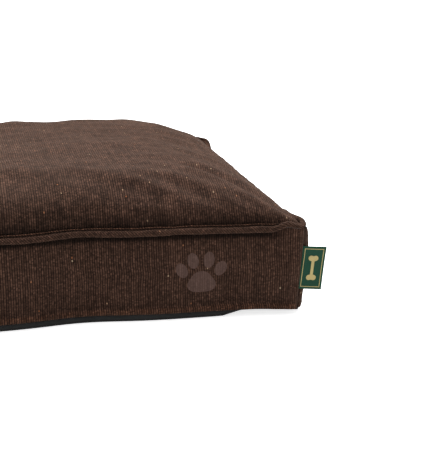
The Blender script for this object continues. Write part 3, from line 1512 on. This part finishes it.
def bone_ends(half_length, knuckle, half_shaft):
    """Outlines of the upper and the lower end of a bone, anticlockwise from the shaft."""
    apart = knuckle * 0.80  # from the bone's middle line to the middle of a knuckle
    upper = [(half_shaft, half_length - knuckle * 1.15)]
    for side in (1, -1):
        start, stop = (-75, 125) if side > 0 else (55, 255)
        for angle in np.radians(np.linspace(start, stop, 11)):
            upper.append((side * apart + knuckle * math.cos(angle), half_length + knuckle * math.sin(angle)))
    upper.append((-half_shaft, half_length - knuckle * 1.15))
    return upper, [(-x, -z) for x, z in upper]


class BED_OT_paw_emblem(Operator):
    """Print the flock paw on the front of the band"""

    bl_idname = "bed.paw_emblem"
    bl_label = "Paw Emblem"

    HEEL = (0.018, 0.0140)
    TOE = (0.0072, 0.0102)
    RING = 0.0305
    ANGLES = (146.0, 110.0, 70.0, 34.0)

    def execute(self, context):
        heel_x = (PAW_LOW.x + PAW_HIGH.x) / 2
        heel_z = PAW_LOW.z + self.HEEL[1]
        pads = [((heel_x, heel_z), self.HEEL, 0.0)]
        for angle in self.ANGLES:
            turn = math.radians(angle)
            middle = (heel_x + self.RING * math.cos(turn), heel_z + self.RING * math.sin(turn))
            pads.append((middle, self.TOE, math.radians((angle - 90) / 2)))
        grid = band_grid("front")[0]
        points, faces, uvs = [], [], []
        for (cx, cz), (a, b), turn in pads:
            start = sum(len(p) for p in points)
            rings = 7
            spokes = 40
            local = [(0.0, 0.0)]
            for ring in range(1, rings + 1):
                share = ring / rings
                for spoke in range(spokes):
                    angle = 2 * math.pi * spoke / spokes
                    heel = 1 + (0.10 * math.cos(3 * angle + math.pi / 2) if a > b else 0.0)
                    local.append((a * share * heel * math.cos(angle), b * share * heel * math.sin(angle)))
            local = np.array(local)
            x = cx + local[:, 0] * math.cos(turn) - local[:, 1] * math.sin(turn)
            z = cz + local[:, 0] * math.sin(turn) + local[:, 1] * math.cos(turn)
            placed = on_front(grid, x, z)
            share = np.concatenate([[0], np.repeat(np.arange(1, rings + 1) / rings, spokes)])
            placed[:, 1] -= 0.00045 * (1 - share**6) + 0.00005
            points.append(placed)
            uvs.append(np.stack([x, z], -1))
            for spoke in range(spokes):
                following = (spoke + 1) % spokes
                faces.append((start, start + 1 + spoke, start + 1 + following))
                for ring in range(rings - 1):
                    inner = start + 1 + ring * spokes
                    outer = inner + spokes
                    faces.append((inner + spoke, outer + spoke, outer + following, inner + following))
        material = flock_material()
        paw = new_piece("paw_print", np.concatenate(points), faces, material, np.concatenate(uvs))
        place_on(paw, "cover", "emblem_flock", "emblem_paw")
        return {"FINISHED"}


def on_front(grid, x, z):
    """Points on the front band's face at given x and z."""
    result = []
    middle = grid.shape[1] // 2
    for x_k, z_k in zip(x, z):
        row = int(np.clip(np.searchsorted(grid[:, middle, 0], x_k), 1, grid.shape[0] - 1))
        before, after = grid[row - 1], grid[row]
        y_before = np.interp(z_k, before[:, 2], before[:, 1])
        y_after = np.interp(z_k, after[:, 2], after[:, 1])
        t = (x_k - before[middle, 0]) / (after[middle, 0] - before[middle, 0])
        result.append((x_k, y_before + (y_after - y_before) * t, z_k))
    return np.array(result)


def flock_material():
    """Short, soft flock, worn thin in places over the ribs."""
    material, n, shader = new_material(
        "Paw Flock",
        Sheen_Weight=0.20,
        Sheen_Roughness=0.45,
        Sheen_Tint=(0.70, 0.48, 0.38, 1.0),
        Specular_IOR_Level=0.05,
    )
    vector = cut_vector(n)
    ribs = use_group(
        n,
        "Ribbed Cloth",
        vector,
        Rib_Pitch=0.003,
        Pick_Pitch=0.0019,
        Flecks=0.0,
        Groove=(0.038, 0.0220, 0.0175),
        Yarn=(0.082, 0.0490, 0.0400),
        Light_Yarn=(0.098, 0.059, 0.048),
    )
    fuzz = n.noise(vector, 1500.0, 3.0, 0.7)
    soft = n.mix(n.ramp(fuzz, 0.3, 0.7, 0.35, 0.75), ribs["Color"], (0.082, 0.0495, 0.0410))
    n.feed(shader.inputs, Base_Color=soft)
    n.feed(shader.inputs, Roughness=n.math("MULTIPLY_ADD", fuzz, 0.1, 0.9))
    wire_bump(n, shader, n.math("MULTIPLY_ADD", ribs["Height"], 0.6, fuzz), 0.0003)
    return material


class BED_OT_care_label(Operator):
    """Sew the care label to the inside of the left band"""

    bl_idname = "bed.care_label"
    bl_label = "Care Label"

    def execute(self, context):
        width = CARE_HIGH.y - CARE_LOW.y
        height = CARE_HIGH.z - CARE_LOW.z
        along, up = np.meshgrid(np.linspace(0, width, 12), np.linspace(0, height, 10), indexing="ij")
        form = held_form()
        band = form.band("left", -(CARE_LOW.y + along), np.clip(up / (SEAM_Z - BASE_SEAM_Z) + 0.01, 0, 1))
        x = band[..., 0] + COVER_CLOTH + 0.0024 + 0.0004 * np.sin(up * 160)
        grid = np.stack([x, CARE_LOW.y + along, band[..., 2] + 0.0010], -1)
        material = woven_material("Care Label Cloth", (0.55, 0.55, 0.53), (0.80, 0.80, 0.78), 0.0004, 0.6)
        label = cloth_shell("care_label_tab", grid, np.stack([along, up], -1), 0.0003, material)
        place_on(label, "cover", "care_label_cloth", "care_label")
        return {"FINISHED"}


# ---- Zip ----------------------------------------------------------------------------------


class BED_OT_zip(Operator):
    """Lay the zip's tapes and coils behind the slot, and finish its metal parts"""

    bl_idname = "bed.zip"
    bl_label = "Zip"

    COIL_PITCH = 0.0016
    FILAMENT = 0.00034

    def execute(self, context):
        self.tapes()
        self.coils()
        self.stitches()
        metal = metal_material("Zip Metal", (0.10, 0.095, 0.09), (0.42, 0.40, 0.38))
        for node in ("zip_slider", "zip_pull", "zip_top_stops", "zip_bottom_stop"):
            set_node_material(node, metal)
        return {"FINISHED"}

    def tapes(self):
        """Two woven tapes with a ribbed edge."""
        material = woven_material("Zip Tape", (0.010, 0.0065, 0.005), (0.040, 0.026, 0.020), 0.0005, 0.75)
        for name in ("upper", "lower"):
            low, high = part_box(f"zip_tape_{name}")
            x = np.linspace(low.x, high.x, 180)
            share = np.linspace(0, 1, 12)
            along, up = np.meshgrid(x[::-1], share, indexing="ij")
            z = low.z + (high.z - low.z) * up
            from_line = np.abs(z - ZIP_Z)
            wave = 0.00010 * ripple(along, z, 0.030, 71)
            y = np.full_like(z, high.y) + wave - 0.00015 * (1 - np.exp(-from_line / 0.004))
            grid = np.stack([along, y, z], -1)
            flat, thickness = np.stack([along, z], -1), high.y - low.y - 0.0001
            tape = cloth_shell(f"zip_tape_cloth_{name}", grid, flat, thickness, material)
            place_on(tape, "cover", "zip_tape", f"zip_tape_{name}")

    def coils(self):
        """Two rows of moulded coil that mesh along the zip line."""
        length = 2 * COIL_HIGH.x
        turns = int(length / self.COIL_PITCH)
        depth = COIL_HIGH.y - COIL_LOW.y
        material, n, shader = new_material("Coil Nylon", Roughness=0.38, Specular_IOR_Level=0.5)
        place = n.add("ShaderNodeTexCoord").outputs["Object"]
        tone = n.noise(place, 400.0, 3.0)
        n.feed(shader.inputs, Base_Color=n.mix(tone, (0.010, 0.007, 0.006), (0.035, 0.025, 0.021)))
        for name, mirror in (("upper", 1), ("lower", -1)):
            low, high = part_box(f"zip_coil_{name}")
            reach = (high.z - low.z) + 0.0009
            clear_selection()
            bpy.ops.mesh.primitive_circle_add(vertices=6, radius=self.FILAMENT, fill_type="NOTHING")
            coil = bpy.context.active_object
            coil.name = f"zip_coil_loops_{name}"
            bpy.ops.object.mode_set(mode="EDIT")
            bpy.ops.mesh.select_all(action="SELECT")
            bpy.ops.transform.translate(value=(0, depth / 2 - self.FILAMENT, 0))
            bpy.ops.object.mode_set(mode="OBJECT")
            screw = coil.modifiers.new("Loops", "SCREW")
            screw.axis = "X"
            screw.steps = 10
            screw.render_steps = 10
            screw.iterations = turns - 2
            screw.screw_offset = self.COIL_PITCH
            screw.use_merge_vertices = False
            make_active(coil)
            bpy.ops.object.modifier_apply(modifier=screw.name)
            co = np.array([v.co for v in coil.data.vertices], float)
            # The screw's axis is X; loops are flattened, and laid along the zip line.
            shift = (co[:, 0].max() + co[:, 0].min()) / 2 - mirror * self.COIL_PITCH / 4
            middle_z = ZIP_Z + mirror * (reach / 2 - 0.0004)
            placed = np.stack(
                [co[:, 0] - shift, (low.y + high.y) / 2 + co[:, 1], middle_z + co[:, 2] * reach / depth], -1
            )
            coil.data.vertices.foreach_set("co", placed.astype(np.float32).ravel())
            cap_and_face_out(coil)
            finish_mesh(coil.data, material)
            place_on(coil, "cover", "zip_coil", f"zip_coil_{name}")

    def stitches(self):
        """The two rows that hold the tapes."""
        material = thread_material("Brown Thread", *THREAD_SHADES)
        x = np.linspace(SLOT_END - 0.002, 0.002 - SLOT_END, 300)
        rows = []
        for name, mirror in (("upper", 1), ("lower", -1)):
            z = ZIP_Z + mirror * (SLOT_HALF + 0.003)
            points = np.stack([x, np.full_like(x, HALF_Y + 0.0001), np.full_like(x, z)], -1)
            normals = np.repeat([[0.0, 1.0, 0.0]], len(x), 0)
            pitch = bpy.context.scene.bed_cloth.stitch_pitch
            rows.append(thread_row(f"zip_stitches_{name}", points, normals, pitch, THREAD_WIDTH, material))
        place_on(rows[0], "cover", "thread", "zip_stitching")
        place_on(rows[1], "cover", "thread")


def cap_and_face_out(obj):
    """Close open ends, merge doubles and turn faces outward."""
    bm = bmesh.new()
    bm.from_mesh(obj.data)
    bmesh.ops.remove_doubles(bm, verts=bm.verts, dist=1e-6)
    edges = [e for e in bm.edges if e.is_boundary]
    if edges:
        bmesh.ops.holes_fill(bm, edges=edges)
    bmesh.ops.recalc_face_normals(bm, faces=bm.faces)
    bm.to_mesh(obj.data)
    bm.free()


# ---- Inner pad ----------------------------------------------------------------------------


class BED_OT_inner_pad(Operator):
    """Make the inner pad's ticking and its fibre filling"""

    bl_idname = "bed.inner_pad"
    bl_label = "Inner Pad"

    def execute(self, context):
        form = held_form()
        ticking = woven_material("Pad Ticking", (0.42, 0.41, 0.38), (0.72, 0.71, 0.67), 0.0006, 0.85)
        u = np.linspace(-1, 1, 81)
        v = np.linspace(-1, 1, 61)
        uu, vv = np.meshgrid(u, v, indexing="ij")
        side = COVER_CLOTH + PAD_EASE
        cover = form.swelled("top", (uu + 1) / 2, (vv + 1) / 2, form.top(uu, vv))
        top = self.inset(cover - grid_normals(cover) * 0.0035, side, COVER_CLOTH + 0.0010)
        pad_top = cloth_shell("pad_top", top, None, PAD_CLOTH, ticking)
        place_on(pad_top, "cover", "pad_cloth", "inner_pad_top")
        base = self.inset(form.base(uu, vv[:, ::-1]), side, -BASE_CLOTH - 0.0010)
        pad_base = cloth_shell("pad_base", base, None, PAD_CLOTH, ticking)
        place_on(pad_base, "cover", "pad_cloth", "inner_pad_base")
        self.walls(top, base[:, ::-1], ticking)
        self.filling(top, base[:, ::-1])
        return {"FINISHED"}

    @staticmethod
    def inset(grid, side, drop):
        """A panel of the pad, side in from the cover all round and drop below it."""
        result = grid.copy()
        result[..., 0] *= 1 - side / HALF_X
        result[..., 1] *= 1 - side / HALF_Y
        result[..., 2] -= drop
        return result

    @staticmethod
    def rim_of(grid):
        """The edge points of a panel, once round anticlockwise."""
        return np.concatenate([grid[:-1, 0], grid[-1, :-1], grid[:0:-1, -1], grid[0, :0:-1]])

    def walls(self, top, base, material):
        """The pad's band, between its two panels."""
        high, low = self.rim_of(top), self.rim_of(base)
        share = np.linspace(0.005, 0.995, 9)
        grid = low[:, None] + (high - low)[:, None] * share[None, :, None]
        run = run_along(high)
        flat = np.stack([np.repeat(run[:, None], 9, 1), np.repeat(share[None] * 0.09, len(run), 0)], -1)
        band = cloth_shell("pad_band", grid, flat, PAD_CLOTH, material, closed=True)
        place_on(band, "cover", "pad_cloth", "inner_pad_band")

    def filling(self, top, base):
        """The block of fibre that the ticking holds."""
        above = self.inset(top, 0.0015, PAD_CLOTH + 0.0004)
        under = self.inset(base, 0.0015, -PAD_CLOTH - 0.0004)
        rows, columns = above.shape[:2]
        count = rows * columns
        points = [above.reshape(-1, 3), under.reshape(-1, 3)]
        faces = grid_faces(rows, columns) + grid_faces(rows, columns, count, flip=True)
        number = np.arange(count).reshape(rows, columns)
        rim = list(number[:-1, 0]) + list(number[-1, :-1]) + list(number[:0:-1, -1]) + list(number[0, :0:-1])
        for a, b in zip(rim, rim[1:] + rim[:1]):
            faces.append((a, a + count, b + count, b))
        flat = np.concatenate([p[:, :2] for p in points])
        material, n, shader = new_material("Fibre", Roughness=0.95, Sheen_Weight=0.3)
        vector = cut_vector(n)
        tangle = n.noise(vector, 120.0, 6.0, 0.7)
        n.feed(shader.inputs, Base_Color=n.mix(tangle, (0.62, 0.61, 0.58), (0.85, 0.85, 0.83)))
        wire_bump(n, shader, tangle, 0.002)
        fibre = new_piece("fibre_block", np.concatenate(points), faces, material, flat)
        place_on(fibre, "cover", "fibre", "fibre_filling")


# ---- Stage --------------------------------------------------------------------------------


class BED_OT_stage(Operator):
    """Set the floor, the soft light and the camera"""

    bl_idname = "bed.stage"
    bl_label = "Stage"

    YAW = math.radians(12.84)
    PITCH = math.radians(14.81)
    AIM = Vector((HALF_X, -HALF_Y, SEAM_Z + 0.002))  # the corner by the label
    AWAY = 1.537
    AIM_RIGHT = 0.1110  # of the view's middle
    AIM_UP = 0.0131
    LENS = 91.33

    def execute(self, context):
        self.floor()
        self.lights()
        self.camera()
        context.scene.view_settings.view_transform = "Standard"
        return {"FINISHED"}

    def floor(self):
        clear_selection()
        bpy.ops.mesh.primitive_plane_add(size=14, location=(0, 3, -0.0003))
        ground = bpy.context.active_object
        ground.name = "floor"
        # The floor is white to look at, but sends only part of its light back up to the bed.
        material, n, shader = new_material("Floor", Roughness=0.9, Specular_IOR_Level=0.1)
        shader.inputs["Emission Color"].default_value = (1.0, 1.0, 1.0, 1.0)
        seen = n.add("ShaderNodeLightPath").outputs["Is Camera Ray"]
        n.feed(shader.inputs, Emission_Strength=n.math("MULTIPLY", seen, 0.75))
        place = n.add("ShaderNodeTexCoord").outputs["Object"]
        tone = n.noise(place, 2.0, 2.0)
        n.feed(shader.inputs, Base_Color=n.mix(tone, (0.79, 0.79, 0.79), (0.81, 0.81, 0.81)))
        ground.data.materials.append(material)

    def lights(self):
        world = bpy.data.worlds.new("Studio")
        bpy.context.scene.world = world
        world.use_nodes = True
        backdrop = world.node_tree.nodes["Background"]
        backdrop.inputs["Color"].default_value = (1.0, 1.0, 1.0, 1.0)
        backdrop.inputs["Strength"].default_value = 0.75
        for name, place, size, power in (
            ("overhead", (0.1, 0.9, 2.6), 3.2, 150.0),
            ("front_fill", (-0.8, -2.4, 1.4), 1.6, 6.0),
        ):
            lamp = bpy.data.lights.new(name, "AREA")
            lamp.shape = "DISK"
            lamp.size = size
            lamp.energy = power
            holder = bpy.data.objects.new(name, lamp)
            holder.location = place
            aim = Vector((0.0, 0.0, 0.08)) - Vector(place)
            holder.rotation_euler = aim.to_track_quat("-Z", "Y").to_euler()
            bpy.context.scene.collection.objects.link(holder)

    def camera(self):
        ahead = Vector(
            (
                math.sin(self.YAW) * math.cos(self.PITCH),
                math.cos(self.YAW) * math.cos(self.PITCH),
                -math.sin(self.PITCH),
            )
        )
        right = Vector((math.cos(self.YAW), -math.sin(self.YAW), 0.0))
        up = right.cross(ahead)
        eye = bpy.data.cameras.new("camera")
        eye.lens = self.LENS
        eye.sensor_width = 36.0
        eye.clip_start = 0.05
        eye.clip_end = 60.0
        holder = bpy.data.objects.new("camera", eye)
        place = self.AIM - ahead * self.AWAY - right * self.AIM_RIGHT - up * self.AIM_UP
        matrix = Matrix((right, up, -ahead)).transposed().to_4x4()
        matrix.translation = place
        holder.matrix_world = matrix
        bpy.context.scene.collection.objects.link(holder)
        bpy.context.scene.camera = holder


# ---- Panel and registration ---------------------------------------------------------------

MAKERS = (
    BED_OT_stage,
    BED_OT_top_panel,
    BED_OT_band,
    BED_OT_back_band,
    BED_OT_base_panel,
    BED_OT_binding,
    BED_OT_woven_label,
    BED_OT_paw_emblem,
    BED_OT_care_label,
    BED_OT_zip,
    BED_OT_inner_pad,
)


class BED_PT_bed(Panel):
    """The bed's pieces, in the order that they are made"""

    bl_idname = "BED_PT_bed"
    bl_label = "Pet Bed"
    bl_space_type = "VIEW_3D"
    bl_region_type = "UI"
    bl_category = "Pet Bed"

    def draw(self, context):
        column = self.layout.column()
        for group in (context.scene.bed_form, context.scene.bed_cloth):
            for prop in group.bl_rna.properties:
                if prop.identifier not in ("rna_type", "name"):
                    column.prop(group, prop.identifier)
        for maker in MAKERS:
            column.operator(maker.bl_idname)


CLASSES = (BedForm, BedCloth, *MAKERS, BED_PT_bed)


def register():
    for cls in CLASSES:
        bpy.utils.register_class(cls)
    bpy.types.Scene.bed_form = PointerProperty(type=BedForm)
    bpy.types.Scene.bed_cloth = PointerProperty(type=BedCloth)


def unregister():
    del bpy.types.Scene.bed_cloth
    del bpy.types.Scene.bed_form
    for cls in reversed(CLASSES):
        bpy.utils.unregister_class(cls)


def main():
    register()
    for maker in MAKERS:
        group, name = maker.bl_idname.split(".")
        getattr(getattr(bpy.ops, group), name)()


if __name__ == "__main__":
    main()
